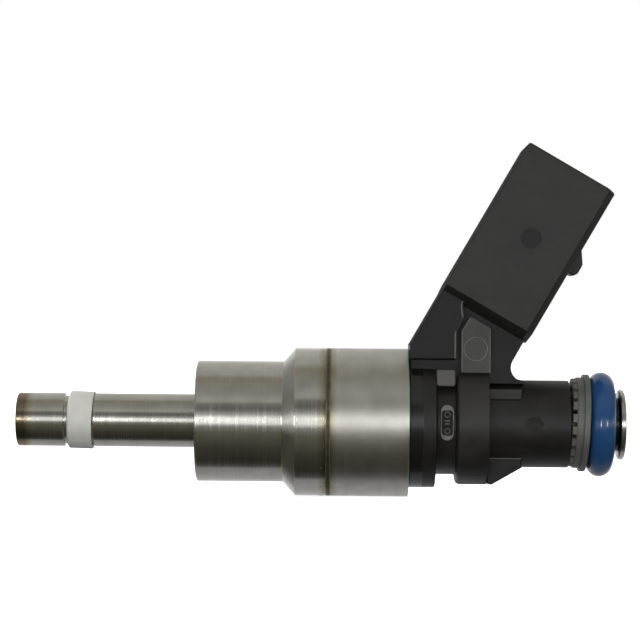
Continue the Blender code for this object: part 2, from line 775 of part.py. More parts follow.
def join_ribs(body):
    """The locating ribs beside the tube, the gusset under it and the latch ramp on the shell."""
    rib_half = 5.25 * MM
    start = COLLAR_END_X - 0.5 * MM
    join(body, block("ribs", (start, -rib_half, 3.95 * MM), (45.2 * MM, rib_half, 5.1 * MM)))
    gusset_half = 3.7 * MM
    gusset = [
        (start, -4.0 * MM),
        (start, -COLLAR_R + 0.1 * MM),
        (COLLAR_END_X, -COLLAR_R + 0.1 * MM),
        (45.3 * MM, -PLASTIC_TUBE_R + 0.1 * MM),
        (45.3 * MM, -4.0 * MM),
    ]
    join(body, prism("gusset", gusset, (-gusset_half, gusset_half)))
    inside = SHELL_HALF_THICK - 0.4 * MM
    crest = SHELL_HALF_THICK + LATCH_HEIGHT
    hook_z, crest_z, ramp_z, foot_z = LATCH_Z
    latch = [
        (inside, hook_z),
        (crest - 0.5 * MM, hook_z),
        (crest, crest_z),
        (crest, ramp_z),
        (SHELL_HALF_THICK, foot_z),
        (inside, foot_z),
    ]
    join(body, prism("latch", latch, (-LATCH_HALF_WIDE, LATCH_HALF_WIDE), frame=CONNECTOR_FRAME))


def cut_socket(body):
    """The socket that the plug goes into, and the passages that hold the terminals."""
    half_thick, half_wide = SHELL_HALF_THICK - SHELL_WALL, SHELL_HALF_WIDE - SHELL_WALL
    low = (-half_thick, -half_wide, SHELL_Z[1] - SOCKET_DEPTH)
    high = (half_thick, half_wide, SHELL_Z[1] + MM)
    cut(body, block("socket", low, high, frame=CONNECTOR_FRAME))
    passage = strip_outline(blade_path(clear=0.5 * MM), BLADE_THICK / 2 + CLEAR)
    half = BLADE_WIDE / 2 + CLEAR
    for middle in (-BLADE_PITCH / 2, BLADE_PITCH / 2):
        cut(body, prism("passage", passage, (middle - half, middle + half), frame=CONNECTOR_FRAME))


# ---------------------------------------------------------------- assembly


def make_injector():
    machined = material("machined_steel", (0.52, 0.51, 0.48), 0.32, 1.0)
    drawn = material("drawn_steel", (0.56, 0.55, 0.53), 0.28, 1.0)
    iron = material("soft_iron", (0.40, 0.39, 0.38), 0.45, 1.0)
    copper = material("enamelled_copper", (0.55, 0.24, 0.10), 0.35, 1.0)
    brass = material("filter_brass", (0.68, 0.52, 0.22), 0.35, 1.0)
    tin = material("tinned_contact", (0.72, 0.71, 0.68), 0.25, 1.0)
    black = material("black_nylon", (0.022, 0.022, 0.021), 0.55)
    natural = material("bobbin_nylon", (0.55, 0.50, 0.40), 0.5)
    white = material("white_ptfe", (0.72, 0.72, 0.68), 0.55)
    grey = material("grey_support_plastic", (0.13, 0.13, 0.12), 0.5)
    blue = material("blue_rubber", (0.02, 0.09, 0.30), 0.3)

    body = empty("injector", Matrix.Identity(4))
    needle = empty("needle_axis", Matrix.Translation((ball_x(), 0, 0)), body)
    connector = empty("connector_axis", CONNECTOR_FRAME, body)

    ball, shaft = make_needle(machined)
    hold(needle, ball, shaft, make_armature(iron))
    hold(
        connector,
        make_terminal("terminal_left", -BLADE_PITCH / 2, tin),
        make_terminal("terminal_right", BLADE_PITCH / 2, tin),
    )
    hold(
        body,
        make_nozzle_body(machined),
        make_tip_seal(white),
        make_valve_seat(machined),
        make_swirl_disc(machined),
        make_guide_disc(machined),
        make_lift_stop(machined),
        make_needle_guide(machined),
        make_valve_housing(machined),
        make_magnet_housing(drawn),
        make_sleeve(drawn),
        make_bobbin(natural),
        make_winding(copper),
        make_pole_washer(iron),
        make_pole_core(iron),
        make_adjusting_sleeve(drawn),
        make_spring(drawn),
        make_inlet_tube(machined),
        make_filter_frame(brass),
        make_filter_mesh(drawn),
        make_o_ring(blue),
        make_support_ring(grey),
        make_overmould(black),
    )


clear_scene()
make_injector()
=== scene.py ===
"""The finish of a high-pressure fuel injector: turned steel, moulded plastic, seals, studio and camera.

Meshes are in metres. Outlines and stations are in millimetres, and scaled() turns them into metres.
The injector lies along X with its spray tip at -X, and its connector leans up and back.
"""

import math
import random

import bmesh
import bpy
from mathutils import Matrix, Vector


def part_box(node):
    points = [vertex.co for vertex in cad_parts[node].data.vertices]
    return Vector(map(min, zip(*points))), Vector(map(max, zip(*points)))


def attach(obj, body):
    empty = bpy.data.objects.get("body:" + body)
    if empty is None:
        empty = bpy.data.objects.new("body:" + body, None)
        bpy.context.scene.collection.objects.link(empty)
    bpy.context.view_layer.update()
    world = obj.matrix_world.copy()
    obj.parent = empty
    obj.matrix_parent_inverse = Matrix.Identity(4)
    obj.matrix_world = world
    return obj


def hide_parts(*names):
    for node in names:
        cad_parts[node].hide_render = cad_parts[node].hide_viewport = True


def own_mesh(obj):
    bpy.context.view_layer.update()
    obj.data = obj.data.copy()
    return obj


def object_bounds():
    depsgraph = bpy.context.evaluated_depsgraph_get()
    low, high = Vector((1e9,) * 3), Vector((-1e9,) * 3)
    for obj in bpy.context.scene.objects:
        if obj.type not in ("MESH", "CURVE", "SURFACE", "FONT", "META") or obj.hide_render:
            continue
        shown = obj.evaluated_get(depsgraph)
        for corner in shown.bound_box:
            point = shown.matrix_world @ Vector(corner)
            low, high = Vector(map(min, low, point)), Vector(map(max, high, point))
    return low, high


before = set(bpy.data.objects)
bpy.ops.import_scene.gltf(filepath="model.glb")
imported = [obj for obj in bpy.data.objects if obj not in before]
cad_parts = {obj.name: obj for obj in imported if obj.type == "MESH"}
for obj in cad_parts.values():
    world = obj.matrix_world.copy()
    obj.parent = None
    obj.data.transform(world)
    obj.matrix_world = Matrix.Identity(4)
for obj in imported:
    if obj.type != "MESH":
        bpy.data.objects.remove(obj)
CAD_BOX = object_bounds()

MM = 0.001
INJECTOR = "injector"

# Stations along the axis and radii, in millimetres.
TIP_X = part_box("nozzle_body")[0].x / MM
INLET_X = round(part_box("inlet_tube")[1].x / MM, 3)
STEEL_END_X = round(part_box("magnet_housing")[1].x / MM, 3)
HOUSING_R = round(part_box("magnet_housing")[1].y / MM, 3)
NOZZLE_R = 3.75
SMALL_HOUSING_R = 8.46
SEAL_GROOVE_X = (-18.5, -14.4)
CONE_X = (12.1, 13.8)
WELD_X = (18.12, 18.74)
COLLAR_X = (36.1, 40.6)
COLLAR_R = 8.57
TUBE_R = 6.1
TUBE_END_X = 52.0
RAIL_GROOVE_R = 3.72
O_RING_X = 56.42
O_RING_SECTION_R = 1.765

# The connector's own frame: z up to the mouth, x across the thickness, y across the width.
LEAN = math.radians(30)
CONNECTOR_FOOT_X = 31.22
CONNECTOR = Matrix.Translation((CONNECTOR_FOOT_X * MM, 0, 0)) @ Matrix.Rotation(LEAN, 4, "Y")
SHELL_Z = (17.4, 41.05)
SHELL_HALF = (6.9, 7.5)
NECK_FRONT = -6.8
NECK_BACK = 6.45

# Half the width across Y, in millimetres.
FRONT_HALF = 5.8  # the front block and the panel
PAD_HALF = 7.3  # the pads in the clamp groove, from face to face
GUSSET_HALF = 3.9

STEEL = (0.60, 0.585, 0.53, 1)
PLAIN = (1, 1, 1, 1)  # a tint that changes nothing


# ---------------------------------------------------------------- node helpers


def new_material(name):
    """A material with a bare Principled shader. Returns the material, its tree and the shader."""
    made = bpy.data.materials.new(name)
    made.use_nodes = True
    tree = made.node_tree
    return made, tree, tree.nodes["Principled BSDF"]


def node(tree, kind, inputs=None, out=0, **settings):
    """Adds a node, links or sets its inputs, and returns one of its outputs."""
    made = tree.nodes.new(kind)
    for key, value in settings.items():
        setattr(made, key, value)
    for key, value in (inputs or {}).items():
        if isinstance(value, bpy.types.NodeSocket):
            tree.links.new(value, made.inputs[key])
        else:
            made.inputs[key].default_value = value
    return made.outputs[out]


def calc(tree, operation, first, second=0.0):
    return node(tree, "ShaderNodeMath", {0: first, 1: second}, operation=operation)


def remap(tree, value, low, high, to_low=0.0, to_high=1.0):
    """Maps a range to another smoothly, and stops at its ends."""
    inputs = {"Value": value, "From Min": low, "From Max": high, "To Min": to_low, "To Max": to_high}
    return node(tree, "ShaderNodeMapRange", inputs, interpolation_type="SMOOTHSTEP")


def mix(tree, factor, first, second, blend="MIX"):
    colours = {0: factor, 6: first, 7: second}
    return node(tree, "ShaderNodeMix", colours, out=2, data_type="RGBA", blend_type=blend)


def noise(tree, place, scale, detail=2.0, rough=0.5):
    inputs = {"Vector": place, "Scale": scale, "Detail": detail, "Roughness": rough}
    return node(tree, "ShaderNodeTexNoise", inputs)


def vector(tree, x, y, z):
    return node(tree, "ShaderNodeCombineXYZ", {0: x, 1: y, 2: z})


def round_place(tree, x, along, angle, around, seed=0.0):
    """A place for noise on a turned surface: how fine it is along the axis, and round it."""
    return vector(tree, calc(tree, "MULTIPLY", x, along), calc(tree, "MULTIPLY", angle, around), seed)


def apart(tree, value, middle):
    """How far a value is from a middle one."""
    return calc(tree, "ABSOLUTE", calc(tree, "SUBTRACT", value, middle))


def ramp(tree, value, stops):
    """A colour ramp from (place, colour) stops."""
    made = tree.nodes.new("ShaderNodeValToRGB")
    tree.links.new(value, made.inputs[0])
    elements = made.color_ramp.elements
    while len(elements) < len(stops):
        elements.new(0.5)
    for element, (place, _) in zip(elements, stops):
        element.position = place
    for element, (_, colour) in zip(elements, stops):
        element.color = colour
    return made.outputs[0]


def coordinates(tree):
    """Object position in millimetres: the vector, x, y, z, and the angle round the injector's axis."""
    place = node(tree, "ShaderNodeTexCoord", out=3)
    in_mm = node(tree, "ShaderNodeVectorMath", {0: place, "Scale": 1 / MM}, operation="SCALE")
    split = tree.nodes.new("ShaderNodeSeparateXYZ")
    tree.links.new(in_mm, split.inputs[0])
    x, y, z = split.outputs
    angle = calc(tree, "ARCTAN2", y, z)
    return in_mm, x, y, z, angle


def bump(tree, height, strength, distance):
    """Raises the surface by a height, at most so many millimetres."""
    return node(tree, "ShaderNodeBump", {"Height": height, "Strength": strength, "Distance": distance * MM})


# ---------------------------------------------------------------- materials


def steel(name, colour, rough, rings=1.0, marks=0.0, tints=(), brushed=0.8):
    """Turned steel with lathe rings, light scuffs along it, and heat tints at stations along the axis.

    rings and marks are the strengths of the rings and the scuffs, and brushed is how far the shine is
    drawn out. Each tint is (x, colour) in millimetres along the axis; between two of them it blends.
    """
    made, tree, shader = new_material(name)
    place, x, _, _, angle = coordinates(tree)
    fine = noise(tree, round_place(tree, x, 9.0, angle, 0.3), 1.0, 3.0, 0.7)
    coarse = noise(tree, round_place(tree, x, 1.6, angle, 0.5, 3.0), 1.0)
    cloud = noise(tree, place, 0.35, 4.0)
    scuff = noise(tree, round_place(tree, x, 0.9, angle, 26.0, 7.0), 1.0, 4.0, 0.6)

    shade = remap(tree, cloud, 0.3, 0.7, 0.90, 1.04)
    shade = calc(tree, "MULTIPLY", shade, remap(tree, fine, 0.25, 0.75, 1 - 0.08 * rings, 1.0))
    paint = mix(tree, 1.0, colour, shade, "MULTIPLY")
    if tints:
        start, end = tints[0][0], tints[-1][0]
        wander = calc(tree, "MULTIPLY", calc(tree, "SUBTRACT", cloud, 0.5), 0.5)
        along = calc(tree, "ADD", x, wander)
        share = node(tree, "ShaderNodeMapRange", {"Value": along, "From Min": start, "From Max": end})
        stops = [((at - start) / (end - start), tint) for at, tint in tints]
        paint = mix(tree, 1.0, paint, ramp(tree, share, stops), "MULTIPLY")
    tree.links.new(paint, shader.inputs["Base Color"])

    spread = remap(tree, fine, 0.3, 0.75, rough * (1 - 0.35 * rings), rough * (1 + 0.45 * rings))
    spread = calc(tree, "ADD", spread, remap(tree, scuff, 0.56, 0.76, 0.0, 0.14 * marks))
    spread = calc(tree, "ADD", spread, remap(tree, coarse, 0.3, 0.7, -0.03, 0.03))
    tree.links.new(spread, shader.inputs["Roughness"])

    height = calc(tree, "MULTIPLY", fine, rings)
    height = calc(tree, "ADD", height, calc(tree, "MULTIPLY", coarse, 0.3 * rings))
    height = calc(tree, "ADD", height, calc(tree, "MULTIPLY", scuff, 0.22 * marks))
    tree.links.new(bump(tree, height, 0.35, 0.02), shader.inputs["Normal"])
    tangent = node(tree, "ShaderNodeTangent", direction_type="RADIAL", axis="X")
    tree.links.new(tangent, shader.inputs["Tangent"])
    shader.inputs["Metallic"].default_value = 1.0
    shader.inputs["Anisotropic"].default_value = brushed
    shader.inputs["Anisotropic Rotation"].default_value = 0.25
    return made


def plastic(name, colour, rough, grain=1.0, gloss=0.5, painted_light=None):
    """Moulded plastic with a fine grain, cloudy patches and faint flow lines.

    grain is how deep the grain is. The last argument is a range along the axis, in millimetres, where
    light is painted: the colour is lighter there, most on top, and fades out underneath.
    """
    made, tree, shader = new_material(name)
    place, x, y, z, _ = coordinates(tree)
    fine = noise(tree, place, 6.0, 3.0, 0.6)
    cloud = noise(tree, place, 0.22, 5.0, 0.6)
    stretched = vector(tree, calc(tree, "MULTIPLY", x, 0.25), y, calc(tree, "MULTIPLY", z, 2.0))
    flow = noise(tree, stretched, 0.5, 3.0)
    shade = remap(tree, cloud, 0.3, 0.72, 0.8, 1.25)
    shade = calc(tree, "MULTIPLY", shade, remap(tree, fine, 0.3, 0.7, 0.94, 1.08))
    # painted light: the colour is lightened by up to 80 percent in the range, most on top, none underneath
    if painted_light:
        low, high = painted_light
        fade = 0.1
        lit_share = calc(tree, "MULTIPLY", remap(tree, x, low - fade, low), remap(tree, x, high + fade, high))
        lit_share = calc(tree, "MULTIPLY", lit_share, remap(tree, z, -6.5, -1.0, 0.0, 0.8))
        shade = calc(tree, "MULTIPLY", shade, calc(tree, "ADD", 1.0, lit_share))
    tree.links.new(mix(tree, 1.0, colour, shade, "MULTIPLY"), shader.inputs["Base Color"])
    spread = remap(tree, cloud, 0.3, 0.7, rough - 0.06, rough + 0.06)
    spread = calc(tree, "ADD", spread, remap(tree, flow, 0.3, 0.7, -0.04, 0.04))
    tree.links.new(spread, shader.inputs["Roughness"])
    height = calc(tree, "ADD", fine, calc(tree, "MULTIPLY", flow, 0.6))
    tree.links.new(bump(tree, height, 0.12 * grain, 0.03), shader.inputs["Normal"])
    shader.inputs["Specular IOR Level"].default_value = gloss
    return made


def rubber(name, colour):
    """Glossy rubber with greenish clouds."""
    made, tree, shader = new_material(name)
    place, *_ = coordinates(tree)
    cloud = noise(tree, place, 0.5, 4.0, 0.6)
    fine = noise(tree, place, 5.0, 3.0)
    greenish = (0.016, 0.08, 0.15, 1)
    paint = mix(tree, remap(tree, cloud, 0.42, 0.72, 0.0, 0.6), colour, greenish)
    tree.links.new(paint, shader.inputs["Base Color"])
    tree.links.new(remap(tree, cloud, 0.3, 0.7, 0.12, 0.2), shader.inputs["Roughness"])
    tree.links.new(bump(tree, fine, 0.03, 0.02), shader.inputs["Normal"])
    return made


def ptfe():
    """White sealing plastic with faint turning marks."""
    made, tree, shader = new_material("ptfe")
    place, x, _, _, angle = coordinates(tree)
    cloud = noise(tree, place, 0.8, 4.0)
    fine = noise(tree, round_place(tree, x, 6.0, angle, 1.0), 1.0, 3.0)
    shade = remap(tree, cloud, 0.3, 0.7, 0.94, 1.03)
    shade = calc(tree, "MULTIPLY", shade, remap(tree, fine, 0.3, 0.7, 0.96, 1.0))
    paint = mix(tree, 1.0, (0.525, 0.525, 0.49, 1), shade, "MULTIPLY")
    tree.links.new(paint, shader.inputs["Base Color"])
    tree.links.new(remap(tree, cloud, 0.3, 0.7, 0.42, 0.55), shader.inputs["Roughness"])
    tree.links.new(bump(tree, fine, 0.15, 0.02), shader.inputs["Normal"])
    return made


def weld():
    """A ring of rippled weld, dark along its middle."""
    made, tree, shader = new_material("weld")
    place, x, _, _, angle = coordinates(tree)
    ripple = noise(tree, round_place(tree, x, 2.0, angle, 60.0), 1.0)
    cloud = noise(tree, place, 1.5, 3.0)
    core = remap(tree, apart(tree, x, sum(WELD_X) / 2), 0.1, 0.4)
    dark, light = (0.085, 0.075, 0.05, 1), (0.32, 0.29, 0.21, 1)
    paint = mix(tree, core, dark, light)
    paint = mix(tree, 1.0, paint, remap(tree, cloud, 0.3, 0.7, 0.75, 1.25), "MULTIPLY")
    tree.links.new(paint, shader.inputs["Base Color"])
    tree.links.new(remap(tree, ripple, 0.3, 0.7, 0.35, 0.55), shader.inputs["Roughness"])
    tree.links.new(bump(tree, ripple, 0.5, 0.03), shader.inputs["Normal"])
    shader.inputs["Metallic"].default_value = 0.8
    return made


# ---------------------------------------------------------------- mesh helpers


def scaled(outline):
    """An outline given in millimetres, in metres."""
    return [tuple(value * MM for value in corner) for corner in outline]


def angles(count):
    return [2 * math.pi * i / count for i in range(count)]


def rounded(corners, steps=5):
    """An outline from (x, y) or (x, y, radius) corners, with an arc at each corner that has a radius."""
    points = []
    for i, corner in enumerate(corners):
        here = Vector(corner[:2])
        radius = corner[2] if len(corner) > 2 else 0.0
        if not radius:
            points.append(tuple(here))
            continue
        before = Vector(corners[i - 1][:2]) - here
        after = Vector(corners[(i + 1) % len(corners)][:2]) - here
        half = before.angle(after) / 2
        reach = min(radius / math.tan(half), 0.49 * before.length, 0.49 * after.length)
        radius = reach * math.tan(half)
        middle = (before.normalized() + after.normalized()).normalized()
        centre = here + middle * (radius / math.sin(half))
        start, end = here + before.normalized() * reach - centre, here + after.normalized() * reach - centre
        first = math.atan2(start.y, start.x)
        turn = math.remainder(math.atan2(end.y, end.x) - first, 2 * math.pi)
        for step in range(steps + 1):
            at = first + turn * step / steps
            points.append((centre.x + radius * math.cos(at), centre.y + radius * math.sin(at)))
    return points


def add_piece(name, bm, finish=None, sharp=35):
    """Turns a bmesh into an object, smooth but for the edges sharper than so many degrees."""
    bmesh.ops.recalc_face_normals(bm, faces=bm.faces)
    mesh = bpy.data.meshes.new(name)
    bm.to_mesh(mesh)
    bm.free()
    mesh.shade_smooth()
    mesh.set_sharp_from_angle(angle=math.radians(sharp))
    if finish:
        mesh.materials.append(finish)
    obj = bpy.data.objects.new(name, mesh)
    bpy.context.scene.collection.objects.link(obj)
    return obj


def turned(name, corners, finish=None, sides=160, sharp=35):
    """A piece turned about X from the corners of its half section, in millimetres."""
    bm = bmesh.new()
    points = [bm.verts.new((x, 0, r)) for x, r in rounded(scaled(corners))]
    edges = []
    for near, far in zip(points, points[1:] + points[:1]):
        if near.co.z > 0 or far.co.z > 0:
            edges.append(bm.edges.new((near, far)))
    whole = {"axis": (1, 0, 0), "cent": (0, 0, 0), "angle": 2 * math.pi}
    bmesh.ops.spin(bm, geom=points + edges, steps=sides, use_merge=True, **whole)
    bmesh.ops.remove_doubles(bm, verts=bm.verts, dist=1e-5 * MM)
    return add_piece(name, bm, finish, sharp)


def extrude(points, distance):
    """A closed solid: a face through points, drawn out by a vector."""
    bm = bmesh.new()
    face = bm.faces.new([bm.verts.new(point) for point in points])
    lifted = bmesh.ops.extrude_face_region(bm, geom=[face])
    moved = [item for item in lifted["geom"] if isinstance(item, bmesh.types.BMVert)]
    bmesh.ops.translate(bm, verts=moved, vec=distance)
    return bm


def prism(name, corners, ends, edge=0.0, place=None, finish=None):
    """An (x, z) outline extruded from one y to another, in millimetres, with its rims rounded by edge."""
    near, far = (y * MM for y in sorted(ends))
    bm = extrude([(x, near, z) for x, z in rounded(scaled(corners))], (0, far - near, 0))
    if edge:
        rims = [e for e in bm.edges if abs(e.verts[0].co.y - e.verts[1].co.y) < 1e-9]
        bmesh.ops.bevel(bm, geom=rims, offset=edge * MM, segments=3, profile=0.5, affect="EDGES")
    if place:
        bm.transform(place)
    return add_piece(name, bm, finish)


def slab(name, corners, half, edge, place=None, finish=None):
    """A prism as thick as twice half, centred on the injector."""
    return prism(name, corners, (-half, half), edge, place, finish)


def rod(name, start, end, radius, sides=48, finish=None):
    """A round rod between two points, in millimetres."""
    start, end = Vector(start) * MM, Vector(end) * MM
    bm = bmesh.new()
    turn = (end - start).to_track_quat("Z", "Y").to_matrix().to_4x4()
    size = {"radius1": radius * MM, "radius2": radius * MM, "depth": (end - start).length}
    place = Matrix.Translation((start + end) / 2) @ turn
    bmesh.ops.create_cone(bm, cap_ends=True, segments=sides, matrix=place, **size)
    return add_piece(name, bm, finish)


def hoop(bm, centre, out, across, wire, sides):
    """Points round a wire at one place along it, in millimetres."""
    points = []
    for turn in angles(sides):
        offset = math.cos(turn) * out + math.sin(turn) * across
        points.append(bm.verts.new((centre + wire * offset) * MM))
    return points


def bridge(bm, rows):
    """Faces between each loop of points and the next."""
    for row, following in zip(rows, rows[1:]):
        for i in range(len(row)):
            j = (i + 1) % len(row)
            bm.faces.new((row[i], row[j], following[j], following[i]))


def loft(name, sections, finish=None):
    """A solid through a row of outlines that have the same number of points."""
    bm = bmesh.new()
    rows = [[bm.verts.new(point) for point in section] for section in sections]
    bridge(bm, rows)
    bm.faces.new(rows[0][::-1])
    bm.faces.new(rows[-1])
    return add_piece(name, bm, finish)


def ring_line(name, centre, radius, wire, finish):
    """A thin raised ring that lies flat against a side of the injector."""
    bm = bmesh.new()
    across = Vector((0, 1, 0))
    rows = []
    for turn in angles(64):
        out = Vector((math.cos(turn), 0, math.sin(turn)))
        rows.append(hoop(bm, Vector(centre) + out * radius, out, across, wire, 8))
    bridge(bm, rows + rows[:1])
    return add_piece(name, bm, finish, 80)


def combine(target, tools, operation):
    """Joins tools to a piece, or cuts them away, and removes them. It works at a thousand to one."""
    target.data.transform(Matrix.Scale(1 / MM, 4))
    for tool in tools:
        tool.data.transform(Matrix.Scale(1 / MM, 4))
        modifier = target.modifiers.new("Combine", "BOOLEAN")
        modifier.operation = operation
        modifier.object = tool
        modifier.solver = "MANIFOLD"
        modifier.material_mode = "TRANSFER"
        graph = bpy.context.evaluated_depsgraph_get()
        mesh = bpy.data.meshes.new_from_object(target.evaluated_get(graph))
        target.modifiers.clear()
        target.data = mesh
        bpy.data.objects.remove(tool)
    target.data.transform(Matrix.Scale(MM, 4))


def join(target, *tools):
    combine(target, tools, "UNION")


def cut(target, *tools):
    combine(target, tools, "DIFFERENCE")


def merge_points(piece):
    """Closes up hair-thin faces that joins and cuts leave, and makes each flat face one polygon."""
    hair = 0.002 * MM
    bm = bmesh.new()
    bm.from_mesh(piece.data)
    bmesh.ops.remove_doubles(bm, verts=bm.verts, dist=hair)
    bmesh.ops.dissolve_degenerate(bm, dist=hair, edges=bm.edges)
    flat = {"angle_limit": math.radians(0.4), "use_dissolve_boundaries": False, "delimit": {"MATERIAL"}}
    bmesh.ops.dissolve_limit(bm, verts=bm.verts, edges=bm.edges, **flat)
    bm.to_mesh(piece.data)
    bm.free()


def smooth_by_angle(piece, degrees):
    """Shades a piece smooth, but for the edges sharper than so many degrees."""
    piece.data.shade_smooth()
    piece.data.set_sharp_from_angle(angle=math.radians(degrees))


def put(piece, slot, *nodes):
    """Rides a piece on the injector, and hides the CAD parts that it stands in for."""
    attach(piece, INJECTOR)
    if nodes:
        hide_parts(*nodes)


def tilt(piece, x, degrees):
    """Leans a ring a little about Y, as one that was pushed on by hand."""
    centre = Matrix.Translation((x * MM, 0, 0))
    piece.data.transform(centre @ Matrix.Rotation(math.radians(degrees), 4, "Y") @ centre.inverted())


# ---------------------------------------------------------------- steel body


def make_nozzle():
    """The long tube, with rolled edges at the tip and at both walls of the seal's groove."""
    groove_r = 3.35
    bore_r = 2.7
    end_x = 4.0
    outline = [
        (TIP_X, bore_r),
        (TIP_X, NOZZLE_R, 0.3),
        (SEAL_GROOVE_X[0], NOZZLE_R, 0.12),
        (SEAL_GROOVE_X[0], groove_r, 0.08),
        (SEAL_GROOVE_X[1], groove_r, 0.08),
        (SEAL_GROOVE_X[1], NOZZLE_R, 0.1),
        (end_x, NOZZLE_R),
        (end_x, bore_r),
    ]
    heat = (
        (TIP_X, (0.46, 0.38, 0.28, 1)),
        (TIP_X + 0.9, (0.50, 0.43, 0.33, 1)),
        (TIP_X + 1.15, (0.46, 0.36, 0.36, 1)),
        (TIP_X + 1.45, (0.62, 0.55, 0.42, 1)),
        (TIP_X + 1.8, (0.86, 0.80, 0.62, 1)),
        (TIP_X + 2.4, PLAIN),
        (-14.0, PLAIN),
    )
    finish = steel("nozzle_steel", STEEL, 0.2, rings=1.0, marks=0.6, tints=heat)
    put(turned("nozzle_tube", outline, finish), "machined_steel", "nozzle_body")

    seat_r = 2.66
    hole_r = 0.35
    seat = [
        (TIP_X, hole_r, 0.05),
        (TIP_X, 2.0, 0.3),
        (TIP_X + 0.35, seat_r, 0.1),
        (-22.4, seat_r),
        (-22.4, 1.6),
        (-23.9, hole_r),
    ]
    put(turned("seat_face", seat, finish, 96), "machined_steel", "valve_seat")


def make_tip_seal():
    """The combustion seal in the nozzle's groove, chamfered on its tip side."""
    low, high = -18.02, -14.54
    inner_r, outer_r = 3.4, 4.03
    outline = [
        (low, inner_r),
        (low, 3.66, 0.1),
        (low + 0.22, outer_r, 0.12),
        (high, outer_r, 0.1),
        (high, inner_r),
    ]
    seal = turned("tip_seal", outline, ptfe())
    tilt(seal, -16.3, 1.6)
    put(seal, "white_ptfe", "tip_seal_ring")


def make_housings():
    """The two halves of the steel body, with the ring of weld between them and the beads it threw off."""
    front_end, rear_start = WELD_X
    front = [
        (0, 3.85),
        (0, SMALL_HOUSING_R, 0.35),
        (CONE_X[0], SMALL_HOUSING_R, 0.3),
        (CONE_X[1], HOUSING_R, 0.3),
        (front_end, HOUSING_R, 0.06),
        (front_end, 9.75),
        (15.15, 9.75),
        (15.15, 8.86),
        (13.0, 5.02),
        (11.9, 5.02),
        (11.9, 4.62),
        (7.5, 4.62),
        (7.5, 3.85),
    ]
    scorched = (0.50, 0.45, 0.33, 1)
    tints = ((0.0, PLAIN), (16.9, PLAIN), (17.6, (0.80, 0.76, 0.63, 1)), (18.1, scorched))
    finish = steel("housing_steel", STEEL, 0.2, rings=1.0, marks=0.5, tints=tints)
    put(turned("front_housing", front, finish, 192), "machined_steel", "valve_housing")

    rear = [
        (rear_start, 9.8),
        (rear_start, HOUSING_R, 0.06),
        (STEEL_END_X, HOUSING_R, 0.2),
        (STEEL_END_X, 9.1, 0.1),
        (19.95, 9.1),
        (19.95, 9.8),
    ]
    tints = ((18.6, scorched), (19.05, (0.78, 0.74, 0.61, 1)), (19.7, PLAIN), (STEEL_END_X, PLAIN))
    finish = steel("magnet_steel", STEEL, 0.4, rings=0.3, marks=0.5, tints=tints, brushed=0.5)
    put(turned("rear_housing", rear, finish, 192), "drawn_steel", "magnet_housing")

    bead = weld()
    gap = 0.01
    root_r, side_r, crown_r = 9.8, 10.32, 10.345
    profile = [
        (front_end + gap, root_r),
        (front_end + gap, side_r),
        (18.25, crown_r, 0.1),
        (18.6, crown_r, 0.1),
        (rear_start - gap, side_r),
        (rear_start - gap, root_r),
    ]
    put(turned("weld_seam", profile, bead, 240), "drawn_steel")
    put(weld_spatter(bead), "drawn_steel")


def weld_spatter(finish):
    """Tiny beads of steel that lie on the front housing, along the weld."""
    beads = 150
    middle, spread = 17.62, 0.2
    dice = random.Random(5)
    bm = bmesh.new()
    for _ in range(beads):
        angle = dice.uniform(-math.pi, math.pi)
        x = dice.gauss(middle, spread) * MM
        radius = dice.uniform(0.02, 0.055) * MM
        out = HOUSING_R * MM + 0.2 * radius
        centre = Matrix.Translation((x, out * math.sin(angle), out * math.cos(angle)))
        bmesh.ops.create_icosphere(bm, subdivisions=2, radius=radius, matrix=centre)
    return add_piece("weld_spatter", bm, finish)


# ---------------------------------------------------------------- seals and inlet


def make_inlet():
    """The steel inlet tube with its end flange."""
    tube_r, bore_r, flange_r = 4.6, 2.4, 4.93
    flange_x = 58.9
    outline = [
        (31.05, bore_r),
        (31.05, tube_r),
        (52.72, tube_r),
        (53.0, RAIL_GROOVE_R, 0.1),
        (flange_x, RAIL_GROOVE_R, 0.15),
        (flange_x, flange_r, 0.3),
        (INLET_X, flange_r, 0.35),
        (INLET_X, 3.1, 0.15),
        (INLET_X - 0.22, 2.95),
        (50.0, 2.95),
        (50.0, bore_r),
    ]
    # painted shadow: the steel is painted near black in the groove beside the O-ring, where the ring's shadow
    # falls
    painted_groove_shadow = (0.10, 0.10, 0.095, 1)
    tints = ((57.6, painted_groove_shadow), (flange_x - 0.04, painted_groove_shadow), (flange_x + 0.02, PLAIN), (INLET_X + 0.08, PLAIN))
    finish = steel("inlet_steel", STEEL, 0.26, rings=0.6, marks=0.4, tints=tints)
    put(turned("inlet", outline, finish), "machined_steel", "inlet_tube")


